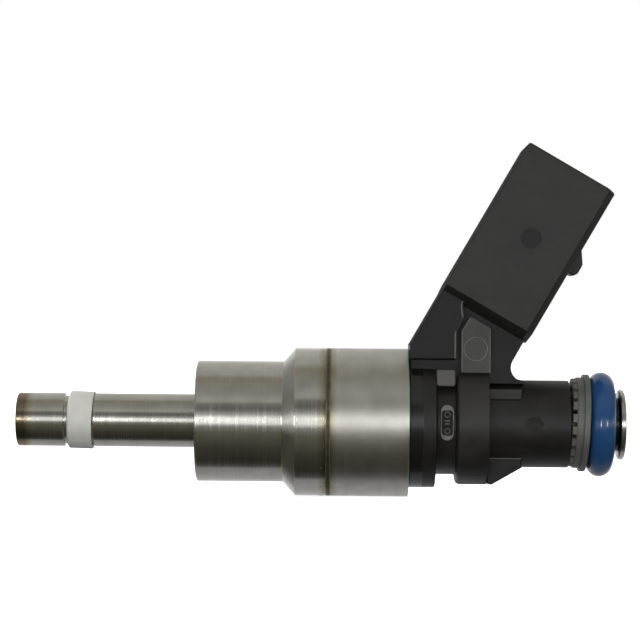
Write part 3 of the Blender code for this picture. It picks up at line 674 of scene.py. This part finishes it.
def make_rail_seal():
    """The blue O-ring, and the stepped grey ring that backs it."""
    middle_r = RAIL_GROOVE_R + 0.04 + O_RING_SECTION_R
    section = []
    for a in angles(40):
        section.append((O_RING_X + O_RING_SECTION_R * math.cos(a), middle_r + O_RING_SECTION_R * math.sin(a)))
    seal = turned("o_ring", section, rubber("blue_seal", (0.012, 0.052, 0.155, 1)), 160, 80)
    tilt(seal, O_RING_X, 1.2)
    put(seal, "blue_rubber", "fuel_o_ring")

    step = [
        (52.2, 4.9),
        (52.2, 6.15, 0.08),
        (52.85, 6.2),
        (52.85, 6.36, 0.08),
        (53.75, 6.36),
        (53.75, 6.8, 0.12),
        (54.6, 6.8, 0.15),
        (54.6, 3.95, 0.1),
        (53.08, 3.95),
        (53.08, 4.9),
    ]
    backup = turned("backup_ring", step, plastic("grey_plastic", (0.083, 0.083, 0.076, 1), 0.5))
    slots = 22
    reach = 7
    gap = [(51.9, -reach), (52.78, -reach), (52.78, reach), (51.9, reach)]
    turns = [Matrix.Rotation(math.pi * (2 * i + 1) / slots, 4, "X") for i in range(slots // 2)]
    cut(backup, *(slab("gap", gap, 0.3, 0.0, turn) for turn in turns))
    merge_points(backup)
    smooth_by_angle(backup, 30)
    backup.data.transform(Matrix.Translation((-0.05 * MM, 0, 0.2 * MM)))
    tilt(backup, 53.6, 2.3)
    put(backup, "grey_support_plastic", "support_ring")


# ---------------------------------------------------------------- moulded body


def in_world(x, z):
    """A point of the connector's frame, in millimetres, as (x, z) in the injector's frame."""
    point = CONNECTOR @ Vector((x * MM, 0, z * MM))
    return point.x / MM, point.z / MM


def neck_level(side, x):
    """The level where one side of the leaning neck crosses a station along the axis."""
    foot_x, foot_z = in_world(side, 0)
    return foot_z + (x - foot_x) / math.tan(LEAN)


def make_shoulder():
    """The smooth ring of plastic beside the steel."""
    low, high = 29.62, 31.5
    bore_r, outer_r = 4.7, 9.06
    smooth = plastic("smooth_black", (0.008, 0.008, 0.0075, 1), 0.2, 0.12, gloss=0.6)
    ring = [(low, bore_r), (low, outer_r, 0.15), (high, outer_r, 0.08), (high, bore_r)]
    put(turned("body_shoulder", ring, smooth), "black_nylon")


def moulded_core(finish):
    """The round part of the moulding: a base, the clamp's groove, the collar and the tube."""
    start, groove_x, groove_r, bore_r = 31.45, 33.3, 7.17, 4.7
    outline = [
        (start, bore_r),
        (start, 9.03, 0.05),
        (groove_x, 9.0, 0.2),
        (groove_x + 0.15, groove_r, 0.25),
        (COLLAR_X[0] - 0.05, groove_r, 0.3),
        (COLLAR_X[0] + 0.1, COLLAR_R, 0.65),
        (COLLAR_X[1] + 0.02, COLLAR_R, 0.25),
        (COLLAR_X[1] + 0.02, TUBE_R, 0.3),
        (TUBE_END_X, TUBE_R, 0.22),
        (TUBE_END_X, bore_r),
    ]
    return turned("moulded_body", outline, finish)


def neck_blocks(deep, satin):
    """The neck that carries the connector, the block in front of it, and the raised panel on both sides."""
    start = STEEL_END_X + 0.05
    fillet, centre_x, centre_z = 1.87, 45.5, 7.95
    steps, first, sweep = 12, 150, 120
    curve = []
    for i in range(steps + 1):
        angle = math.radians(first + sweep * i / steps)
        curve.append((centre_x + fillet * math.cos(angle), centre_z + fillet * math.sin(angle)))
    top, floor = 18.6, 5.6
    neck = [
        (start + 0.05, 6.2),
        (start + 0.05, neck_level(NECK_FRONT, start + 0.05)),
        in_world(NECK_FRONT, top),
        in_world(NECK_BACK, top),
        *curve,
        (centre_x, floor),
        (40.3, floor),
        (40.3, 5.0),
    ]
    block_top, block_floor = 18.1, 8.95
    front = [
        (start - 0.02, block_floor, 0.3),
        (start - 0.02, neck_level(NECK_FRONT, start)),
        in_world(NECK_FRONT - 0.03, block_top),
        in_world(-3.7, block_top),
        in_world(-3.3, 17.0),
        (37.05, 14.85, 0.3),
        (36.05, 12.85, 0.3),
        (36.05, block_floor, 0.3),
    ]
    low, high = 36.7, 40.78
    panel = [(low, 7.12, 0.2), (low, 12.95, 0.3), (37.95, 15.0, 0.3), (high, 13.35, 0.3), (high, 7.12, 0.2)]
    return [
        # the neck and the front block take the painted-shade copy of the black
        slab("neck", neck, 4.75, 0.18, finish=deep),
        slab("front_block", front, FRONT_HALF, 0.28, finish=deep),
        slab("panel", panel, FRONT_HALF, 0.16, finish=satin),
    ]


def shell_outline(z, inset=0.0, foot=0.0):
    """The shell's outline at a height: its rear edges are cut back broadly, and foot narrows its sides."""
    half_x, half_y = SHELL_HALF[0] - inset, SHELL_HALF[1] - inset
    rear, deep = half_x - 0.9, half_y - foot
    chamfer = 1.6
    corners = [
        (-half_x, -deep, 0.2),
        (rear, -deep, 0.3),
        (half_x, -deep + chamfer, 0.4),
        (half_x, deep - chamfer, 0.4),
        (rear, deep, 0.3),
        (-half_x, deep, 0.2),
    ]
    return [CONNECTOR @ Vector((x * MM, y * MM, z * MM)) for x, y in rounded(corners)]


def make_shell(finish):
    """The connector's shell: it widens out of the neck at its foot, and its rim is rounded."""
    low, high = SHELL_Z
    rim, steps = 0.35, 4
    rows = [
        shell_outline(low - 0.3, foot=2.75),
        shell_outline(low + 1.0, foot=0.06),
        shell_outline(low + 1.08),
    ]
    for i in range(steps + 1):
        angle = math.radians(90 * i / steps)
        rows.append(shell_outline(high - rim + rim * math.sin(angle), rim * (1 - math.cos(angle))))
    return loft("shell", rows, finish)


def raised_details(black, deep):
    """The locating ribs, the gusset, the step and the pad in the clamp groove, and the latch ramp."""
    # painted light: a paler copy of the black for the step's face, where light falls on it
    light = plastic("lit_step_black", (0.07, 0.068, 0.066, 1), 0.5, 0.8, gloss=0.35)
    gloss = plastic("gloss_black", (0.06, 0.06, 0.057, 1), 0.25, 0.3, gloss=0.9)
    rib = [(40.3, 3.5), (40.3, 5.0), (45.2, 5.0, 0.2), (45.1, 3.5, 0.2)]
    gusset = [(40.45, -3.65), (40.45, -8.2), (41.1, -8.38, 0.3), (45.3, -5.95), (45.3, -3.65)]
    step = [(33.3, 5.3, 0.3), (33.3, 7.6, 0.3), (35.9, 7.6, 0.3), (35.9, 5.3, 0.3)]
    latch = [(6.2, 28.5), (7.9, 28.5, 0.35), (8.3, 29.1, 0.4), (8.3, 30.5, 0.8), (6.8, 32.7), (6.2, 32.7)]
    pad = [(33.86, -2.14, 0.93), (33.86, 2.84, 0.93), (35.74, 2.84, 0.93), (35.74, -2.14, 0.93)]
    return [
        slab("rib", rib, 5.25, 0.15, finish=black),
        slab("gusset", gusset, GUSSET_HALF, 0.25, finish=deep),
        slab("groove_step", step, 6.45, 0.2, finish=light),
        slab("latch", latch, 2.6, 0.25, CONNECTOR, black),
        slab("pad", pad, PAD_HALF, 0.1, finish=gloss),
    ]


def socket_cutters():
    """The socket's hollow, and a passage through its floor for each terminal."""
    wall, depth, corner = 1.3, 14.0, 0.7
    inner_x, inner_y = SHELL_HALF[0] - wall, SHELL_HALF[1] - wall
    floor = SHELL_Z[1] - depth
    corners = [
        (-inner_x, -inner_y, corner),
        (inner_x, -inner_y, corner),
        (inner_x, inner_y, corner),
        (-inner_x, inner_y, corner),
    ]
    bm = extrude([(x, y, floor * MM) for x, y in rounded(scaled(corners))], (0, 0, (depth + 1) * MM))
    bm.transform(CONNECTOR)
    cutters = [add_piece("socket", bm)]
    passage = [(-0.36, 24.0), (-0.36, 28.0), (0.36, 28.0), (0.36, 24.0)]
    for y in (-2.5, 2.5):
        cutters.append(prism("passage", passage, (y - 0.8, y + 0.8), place=CONNECTOR))
    return cutters


def sunk_marks():
    """The shallow round marks of the ejector pins on the shell, and the dimples on the tube."""
    # painted shade: a darker, duller copy of the black for the floors of the sunk marks and dimples
    dull_shaded = plastic("sunk_shaded_black", (0.0075, 0.0073, 0.007, 1), 0.55, 0.5, gloss=0.35)
    cutters = []
    for side in (-1, 1):
        x, z = 46.05, 25.75
        sunk = SHELL_HALF[1] - 0.08
        pin = rod("ejector", (x, side * sunk, z), (x, side * 9, z), 1.42, finish=dull_shaded)
        ball, touch = 4.4, 5.9
        bm = bmesh.new()
        place = Matrix.Translation(Vector((46.85, side * (touch + ball), 0.45)) * MM)
        bmesh.ops.create_icosphere(bm, subdivisions=5, radius=ball * MM, matrix=place)
        cutters += [pin, add_piece("dimple", bm, dull_shaded)]
    return cutters


def finish_faces(body, dull_shaded, edge):
    """A duller finish, painted darker as painted shade, on the face by the steel housing, and painted
    highlights on the rims of panel and front block.
    """
    body.data.materials.append(dull_shaded)
    body.data.materials.append(edge)
    dull_shaded_index, highlight_index = len(body.data.materials) - 2, len(body.data.materials) - 1
    lean_front = CONNECTOR.to_3x3() @ Vector((-1, 0, 0))
    to_connector = CONNECTOR.inverted()
    for face in body.data.polygons:
        centre, normal = face.center / MM, face.normal
        # painted shade: the leaning face gets the darker, duller copy of the black
        foremost = (to_connector @ face.center).x / MM < NECK_FRONT + 0.15
        if foremost and normal.dot(lean_front) > 0.8 and centre.z > 8.5:
            face.material_index = dull_shaded_index
        # painted highlight: the bevels on the rims of panel and front block get the pale copy of the black
        in_reach = 35 < centre.x < 41 and 7 < centre.z < 17.3
        on_rim = FRONT_HALF - 0.35 < abs(centre.y) < FRONT_HALF - 0.005 and 0.25 < abs(normal.y) < 0.97
        upright = normal.x > 0.25 or normal.x < -0.2
        if in_reach and on_rim and upright:
            face.material_index = highlight_index


def make_overmould():
    """The moulded plastic body in one piece, built up and cut as the mould would leave it."""
    black = plastic("black_plastic", (0.0165, 0.0163, 0.0155, 1), 0.48, gloss=0.35)
    # tube_black carries painted light on the collar: lighter on top, fading out underneath
    tube_black = plastic("tube_black", (0.011, 0.0105, 0.010, 1), 0.45, gloss=0.4, painted_light=COLLAR_X)
    # painted shade: a darker copy of the black for the neck, the front block and the gusset, which lie in
    # shade
    deep = plastic("painted_shade_black", (0.0055, 0.0058, 0.0053, 1), 0.48, gloss=0.33)
    satin = plastic("satin_black", (0.038, 0.037, 0.036, 1), 0.5, 0.8, gloss=0.35)
    # painted highlight: a pale copy of the black for bevels and lines that catch the light
    edge = plastic("painted_highlight_black", (0.085, 0.083, 0.08, 1), 0.4, 0.4)
    # painted shade: a darker, duller copy of the black for the leaning face and the sunk marks
    dull_shaded = plastic("dull_shaded_black", (0.006, 0.006, 0.006, 1), 0.75, 0.5, gloss=0.08)
    body = moulded_core(tube_black)
    join(body, *neck_blocks(deep, satin), make_shell(black), *raised_details(black, deep))
    bore = rod("bore", (28, 0, 0), (53, 0, 0), 4.66, 96)
    cut(body, bore, *socket_cutters(), *sunk_marks())
    merge_points(body)
    finish_faces(body, dull_shaded, edge)
    smooth_by_angle(body, 30)
    weighted = body.modifiers.new("Normals", "WEIGHTED_NORMAL")
    weighted.keep_sharp = True
    put(body, "black_nylon", "overmould_body")
    make_marks()
    make_gusset_lines(edge)


def make_gusset_lines(edge):
    """A fine raised line along each side of the gusset, where it runs into the tube."""
    z = -4.67
    for side, name in ((-1, "front"), (1, "back")):
        y = side * GUSSET_HALF
        # painted highlight: the line takes the pale copy of the black, as an edge that catches the light
        line = rod("gusset_line_" + name, (COLLAR_X[1], y, z), (45.2, y, z), 0.1, 16, edge)
        put(line, "black_nylon")


def make_marks():
    """The round part marks on the neck and the little raised marks on the pad in the clamp groove."""
    # painted highlight: a pale copy of the black for the raised rings and bars, whose edges catch the light
    line = plastic("painted_highlight_line", (0.11, 0.108, 0.104, 1), 0.42, 0.6)
    dark = plastic("pad_black", (0.011, 0.011, 0.0105, 1), 0.6, 0.5, gloss=0.15)
    window = [(34.05, -1.4, 0.35), (34.05, 2.05, 0.35), (35.55, 2.05, 0.35), (35.55, -1.4, 0.35)]
    for side, name in ((-1, "front"), (1, "back")):
        mark = ring_line("round_mark_" + name, (38.7, side * FRONT_HALF, 10.45), 1.6, 0.075, line)
        put(mark, "black_nylon")
        pad_y = side * PAD_HALF
        proud = side * 0.02
        ends = (pad_y - side * 0.3, pad_y + proud)
        put(prism("pad_window_" + name, window, ends, finish=dark), "black_nylon")
        for level, height in ((1.45, "high"), (-0.8, "low")):
            ring = ring_line(f"pad_ring_{name}_{height}", (34.81, pad_y + proud, level), 0.36, 0.06, line)
            put(ring, "black_nylon")
        for i in range(2):
            low = 0.12 + 0.42 * i
            high = low + 0.14
            bar = [(34.45, low, 0.04), (34.45, high, 0.04), (35.17, high, 0.04), (35.17, low, 0.04)]
            ends = (pad_y, pad_y + side * 0.08)
            put(prism(f"pad_bar_{name}_{i}", bar, ends, 0.03, finish=line), "black_nylon")


# ---------------------------------------------------------------- inside, and the parts kept from the CAD


def make_spring():
    """The closing spring, with a dead coil at each end."""
    turns, per_turn, around = 6, 40, 12
    start, end, radius, wire = 17.85, 24.7, 1.5, 0.25
    dead = 2.1 * wire
    axis = Vector((1, 0, 0))
    bm = bmesh.new()
    rings = []
    for i in range(turns * per_turn + 1):
        turn = i / per_turn
        rise = dead * min(turn, 1) + dead * max(turn - turns + 1, 0)
        rise += (end - start - 2 * dead) * min(max((turn - 1) / (turns - 2), 0), 1)
        angle = 2 * math.pi * turn
        out = Vector((0, math.cos(angle), math.sin(angle)))
        rings.append(hoop(bm, axis * (start + rise) + out * radius, out, axis, wire, around))
    bridge(bm, rings)
    bm.faces.new(rings[0])
    bm.faces.new(rings[-1])
    spring = add_piece("coil_spring", bm, steel("spring_steel", (0.4, 0.39, 0.37, 1), 0.25, rings=0.3), 60)
    put(spring, "drawn_steel", "closing_spring")
    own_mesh(spring)


def finish_inside():
    """Better materials for the CAD nodes whose shape is right."""
    machined = steel("inner_steel", STEEL, 0.22, rings=0.8)
    drawn = steel("sheet_steel", (0.55, 0.54, 0.52, 1), 0.3, rings=0.3, marks=0.6)
    iron = steel("pole_iron", (0.40, 0.39, 0.38, 1), 0.4, rings=0.6, marks=0.3)
    brass = steel("brass", (0.62, 0.44, 0.17, 1), 0.3, rings=0.3, marks=0.4)
    tin = steel("tin", (0.70, 0.69, 0.66, 1), 0.25, rings=0.0, marks=0.8)
    copper = steel("copper", (0.50, 0.20, 0.08, 1), 0.35, rings=1.0)
    natural = plastic("natural_plastic", (0.50, 0.44, 0.33, 1), 0.45)
    kept = {
        "swirl_disc": machined,
        "ball_guide_disc": machined,
        "needle_ball": machined,
        "needle_shaft": machined,
        "lift_stop_disc": machined,
        "needle_guide_ring": machined,
        "non_magnetic_sleeve": drawn,
        "spring_adjusting_sleeve": drawn,
        "filter_mesh": drawn,
        "armature": iron,
        "pole_washer": iron,
        "pole_core": iron,
        "coil_winding": copper,
        "filter_frame": brass,
        "terminal_left": tin,
        "terminal_right": tin,
        "coil_bobbin": natural,
    }
    for name, finish in kept.items():
        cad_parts[name].data.materials[0] = finish


# ---------------------------------------------------------------- studio


def make_floor():
    """A pale floor under the injector, which shows white to the camera."""
    low = CAD_BOX[0][2]
    bm = bmesh.new()
    bmesh.ops.create_grid(bm, x_segments=1, y_segments=1, size=1.5, matrix=Matrix.Translation((0, 0, low)))
    made, tree, shader = new_material("floor")
    place = node(tree, "ShaderNodeTexCoord", out=3)
    paint = remap(tree, noise(tree, place, 40.0), 0.3, 0.7, 0.8, 0.84)
    tree.links.new(paint, shader.inputs["Base Color"])
    shader.inputs["Roughness"].default_value = 0.9
    shader.inputs["Specular IOR Level"].default_value = 0.0
    shader.inputs["Emission Color"].default_value = (1, 1, 1, 1)
    shader.inputs["Emission Strength"].default_value = 0.86
    floor = add_piece("floor", bm, made)
    floor.visible_glossy = False
    floor.visible_diffuse = False


def level_stops(levels, lowest, highest):
    """Colour stops from (place, brightness, tint), with places from lowest to highest."""
    stops = []
    for at, level, tint in levels:
        colour = (level * tint[0], level * tint[1], level * tint[2], 1)
        stops.append(((at - lowest) / (highest - lowest), colour))
    return stops


def make_world():
    """A soft box studio: a strip behind the camera, a dark belt under it, and pale walls all round.

    bands goes round the injector's axis in degrees: from behind it, under it, past the camera at 0,
    over it and back. ends goes from straight down to straight up, past the injector's two ends.
    """
    world = bpy.data.worlds.new("studio")
    world.use_nodes = True
    tree = world.node_tree
    bpy.context.scene.world = world
    tree.nodes.clear()
    place = node(tree, "ShaderNodeTexCoord", out=0)
    split = tree.nodes.new("ShaderNodeSeparateXYZ")
    tree.links.new(place, split.inputs[0])
    x, y, z = split.outputs
    turn = calc(tree, "ARCTAN2", z, calc(tree, "MULTIPLY", y, -1.0))
    share = calc(tree, "ADD", calc(tree, "DIVIDE", turn, 2 * math.pi), 0.5)
    cool, mid, warm = (0.99, 1.0, 1.03), (1.0, 1.0, 0.96), (1.05, 1.0, 0.80)
    bands = [
        (-180, 1.0, cool),
        (-150, 0.54, cool),
        (-116, 0.40, cool),
        (-100, 0.33, cool),
        (-94, 0.08, mid),
        (-80, 0.032, warm),
        (-50, 0.06, warm),
        (-20, 0.14, warm),
        (-7, 0.28, mid),
        (-3, 1.0, cool),
        (8, 1.22, cool),
        (14, 0.5, cool),
        (24, 0.16, mid),
        (36, 0.23, mid),
        (40, 0.5, mid),
        (61, 0.34, mid),
        (93, 0.29, warm),
        (103, 0.46, mid),
        (154, 0.62, mid),
        (180, 1.0, cool),
    ]
    light = ramp(tree, share, level_stops(bands, -180, 180))
    ends = [
        (-1, 0.25, mid),
        (-0.6, 0.06, warm),
        (-0.2, 0.09, warm),
        (-0.07, 0.5, mid),
        (0, 1.6, cool),
        (0.07, 1.2, cool),
        (0.14, 0.35, mid),
        (0.3, 0.22, mid),
        (0.6, 0.36, mid),
        (1, 0.40, mid),
    ]
    rise = calc(tree, "ADD", calc(tree, "MULTIPLY", z, 0.5), 0.5)
    side = remap(tree, calc(tree, "ABSOLUTE", x), 0.35, 0.75)
    light = mix(tree, side, light, ramp(tree, rise, level_stops(ends, -1, 1)))
    light = mix(tree, 1.0, light, lamp_pair(tree, x, y, z), "ADD")
    studio = node(tree, "ShaderNodeBackground", {"Color": light, "Strength": 1.0})
    white = node(tree, "ShaderNodeBackground", {"Color": (1, 1, 1, 1), "Strength": 1.0})
    seen = node(tree, "ShaderNodeLightPath", out=0)
    both = node(tree, "ShaderNodeMixShader", {0: seen, 1: studio, 2: white})
    tree.links.new(both, tree.nodes.new("ShaderNodeOutputWorld").inputs["Surface"])


def lamp_pair(tree, x, y, z):
    """Two small upright lamps behind the camera, one on each side of it, which show in the O-ring."""
    off_axis, level, power = 0.47, 0.06, 22.0
    width = remap(tree, apart(tree, calc(tree, "ABSOLUTE", x), off_axis), 0.03, 0.06, 1.0, 0.0)
    height = remap(tree, apart(tree, z, level), 0.05, 0.12, 1.0, 0.0)
    ahead = remap(tree, y, -0.5, -0.3, 1.0, 0.0)
    lamps = calc(tree, "MULTIPLY", calc(tree, "MULTIPLY", width, height), ahead)
    return calc(tree, "MULTIPLY", lamps, power)


def add_light(name, place, size, power):
    """A round soft light that points at the injector and doesn't show in its gloss."""
    target = Vector((0.015, 0, 0.007))
    data = bpy.data.lights.new(name, "AREA")
    data.shape = "DISK"
    data.size = size
    data.energy = power
    lamp = bpy.data.objects.new(name, data)
    bpy.context.scene.collection.objects.link(lamp)
    lamp.location = place
    lamp.rotation_euler = (target - Vector(place)).to_track_quat("-Z", "Y").to_euler()
    lamp.visible_glossy = False


def make_lights():
    """Key and fill for the camera's side, and three more for the top, the back and the tip's end."""
    add_light("key", (0.05, -0.35, 0.55), 0.35, 0.65)
    add_light("back", (-0.1, 0.5, 0.5), 0.5, 1.6)
    add_light("fill", (0.02, -0.5, 0.03), 0.3, 1.2)
    add_light("rear", (0.02, 0.55, 0.03), 0.3, 1.2)
    add_light("left", (-0.5, 0.1, 0.18), 0.3, 2.2)


def make_camera():
    """A long lens that looks along +Y, rolled a little."""
    roll = math.radians(0.5)
    data = bpy.data.cameras.new("camera")
    data.sensor_width = 36
    data.lens = 128.1
    camera = bpy.data.objects.new("camera", data)
    bpy.context.scene.collection.objects.link(camera)
    eye, aim = Vector((21.45, -320, 14.3)) * MM, Vector((17.1, 0, 14.3)) * MM
    turn = (aim - eye).to_track_quat("-Z", "Y").to_matrix() @ Matrix.Rotation(roll, 3, "Z")
    camera.matrix_world = Matrix.Translation(eye) @ turn.to_4x4()
    bpy.context.scene.camera = camera
    bpy.context.scene.view_settings.view_transform = "Standard"


# ---------------------------------------------------------------- all of it

make_nozzle()
make_tip_seal()
make_housings()
make_inlet()
make_rail_seal()
make_shoulder()
make_overmould()
make_spring()
finish_inside()
make_floor()
make_world()
make_lights()
make_camera()
